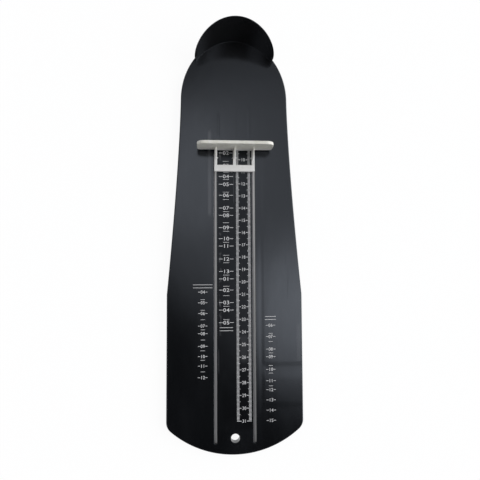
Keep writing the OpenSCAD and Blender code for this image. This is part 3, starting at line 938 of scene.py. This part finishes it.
def make_camera():
    """Camera above the board, a little to its left, as the photograph was taken."""
    data = bpy.data.cameras.new("camera")
    camera = bpy.data.objects.new("camera", data)
    scene.collection.objects.link(camera)
    data.lens = 36
    data.sensor_width = 36
    camera.location = CAMERA_AT
    camera.rotation_euler = Euler([math.radians(angle) for angle in CAMERA_TURN_DEG])
    scene.camera = camera


FLOOR_HALF, FLOOR_T = 3.0, 20 * MM
# The floor lies in shade this far to each side of a slot and past its ends
SHADE_SIDE, SHADE_END = 8 * MM, 4 * MM
# A strip of that shade gets painted light: its soft edges, and its drift to the right towards the toe
LEFT_STRIP_EDGES = ((-15.88 * MM, -15.58 * MM), (-14.75 * MM, -14.4 * MM))
RIGHT_STRIP_EDGE = (15.6 * MM, 15.9 * MM)
LEFT_STRIP_DRIFT, RIGHT_STRIP_DRIFT = 0.0013, 0.0028
# Level of the strips' painted light at the toe and at the heel, and the share of it beside them
PAINTED_STRIP_LEVELS = (0.105, 0.26)
SHADE_SHARE = 0.1
# Level of the clear floor
CLEAR_LEVEL = 0.9


def floor_levels(n):
    """How white the floor looks: clear all round, with a narrow strip of painted light under each
    slot.
    """
    x, y, z = n.axes()
    beside = n.math("GREATER_THAN", n.apart(n.math("ABSOLUTE", x), SLOT_X), SHADE_SIDE)
    middle = (y_at(SLOT_START) + y_at(SLOT_END)) / 2
    reach = (SLOT_END - SLOT_START) / 2 + SHADE_END
    beyond = n.math("GREATER_THAN", n.apart(y, middle), reach)
    below = n.math("LESS_THAN", z, -FLOOR_T / 2)
    clear = n.larger(n.larger(beside, beyond), below)
    # Painted light: a glow on a strip of the ground under each slot stands in for light that slants
    # in from the right
    past = n.minus(y_at(SLOT_START), y)
    left_low, left_high = LEFT_STRIP_EDGES
    left = n.ramp(n.minus(x, n.times(past, LEFT_STRIP_DRIFT)), *left_low)
    left = n.times(left, n.ramp(x, *left_high, 1, 0))
    right = n.ramp(n.minus(x, n.times(past, RIGHT_STRIP_DRIFT)), *RIGHT_STRIP_EDGE)
    painted_lit_mask = n.math("ADD", left, right)
    # Painted light: the strips glow for the eye at these levels in place of light through the slots
    painted_strip_light = n.ramp(y, y_at(SLOT_END), y_at(SLOT_START), *PAINTED_STRIP_LEVELS)
    painted_strip_light = n.times(painted_strip_light, n.ramp(painted_lit_mask, 0, 1, SHADE_SHARE, 1))
    return n.larger(n.times(clear, CLEAR_LEVEL), painted_strip_light)


def make_floor():
    """White ground that reads white to the eye, but lies in plain shade under the slots, with a strip
    of painted light under each.
    """
    n = Nodes("floor", (0.85, 0.85, 0.85), 0.8)
    path = n.add("ShaderNodeLightPath")
    seen = n.larger(path.outputs["Is Camera Ray"], path.outputs["Is Glossy Ray"])
    seen = n.larger(seen, path.outputs["Is Transmission Ray"])
    share = n.times(seen, floor_levels(n))
    glow = n.add("ShaderNodeEmission", {"Color": (1, 1, 1, 1), "Strength": 1.03})
    mix = n.add("ShaderNodeMixShader", {0: share, 1: n.shader.outputs[0], 2: glow.outputs[0]})
    n.tree.links.new(mix.outputs[0], n.tree.nodes["Material Output"].inputs["Surface"])
    slab = prism(box_outline(-FLOOR_HALF, FLOOR_HALF, -FLOOR_HALF, FLOOR_HALF), "z", -FLOOR_T, 0)
    floor = new_object("floor", slab, n.material, smooth=False)
    floor.location.z = -0.1 * MM


# Soft lamps of the room: direction, half angles of the bright core and of the whole, level
LAMPS = (((0.220, -0.092, 1), 1, 9.9, 2.75),
         ((-0.039, 0.213, 1), 4.5, 9, 0.8),
         ((0.095, 0.179, 1), 7.5, 19, 0.9),
         ((-0.40, -0.27, 1), 4, 13, 1.2),
         ((1, 0.13, 0.5), 25, 42, 3.0),
         ((-1, 0.35, 0.5), 25, 50, 0.55),
         ((0.1, 1, 0.45), 20, 40, 0.5),
         ((0.35, -1, 0.45), 20, 42, 0.45))
ROOM_LEVEL = 0.05
ROOM_TINT = (0.985, 0.99, 1.02)
# Mirrored rays that point lower than this see white
LOW_RAY = 0.12


def make_world():
    """Dim room with soft bright patches, white where the eye looks past the floor."""
    world = bpy.data.worlds.new("studio")
    scene.world = world
    world.use_nodes = True
    tree = world.node_tree

    def add(kind, inputs=None, **settings):
        return add_node(tree, kind, inputs, **settings).outputs

    way = add("ShaderNodeTexCoord")["Generated"]
    total = ROOM_LEVEL
    for aim, core, whole, level in LAMPS:
        along = add("ShaderNodeVectorMath", {0: way, 1: Vector(aim).normalized()},
                    operation="DOT_PRODUCT")["Value"]
        patch = add("ShaderNodeMapRange", {0: along, 1: math.cos(math.radians(whole)),
                                           2: math.cos(math.radians(core)), 3: 0.0, 4: level},
                    interpolation_type="SMOOTHSTEP")[0]
        total = add("ShaderNodeMath", {0: patch, 1: total}, operation="ADD")[0]
    path = add("ShaderNodeLightPath")
    height = add("ShaderNodeSeparateXYZ", {0: way})[2]
    low = add("ShaderNodeMath", {0: height, 1: LOW_RAY}, operation="LESS_THAN")[0]
    mirrored = add("ShaderNodeMath", {0: path["Is Glossy Ray"], 1: low}, operation="MULTIPLY")[0]
    seen = add("ShaderNodeMath", {0: path["Is Camera Ray"], 1: mirrored}, operation="MAXIMUM")[0]
    level = add("ShaderNodeMix", {0: seen, 2: total, 3: 1.0})[0]
    back = tree.nodes["Background"]
    back.inputs["Color"].default_value = (*ROOM_TINT, 1)
    tree.links.new(level, back.inputs["Strength"])


make_camera()
make_floor()
make_world()

make_board(board_material())
make_slider(slider_material())
make_prints(ink_material())
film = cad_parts["centre_film"]
film.data.materials.clear()
film.data.materials.append(film_material())

scene.view_settings.view_transform = "Standard"
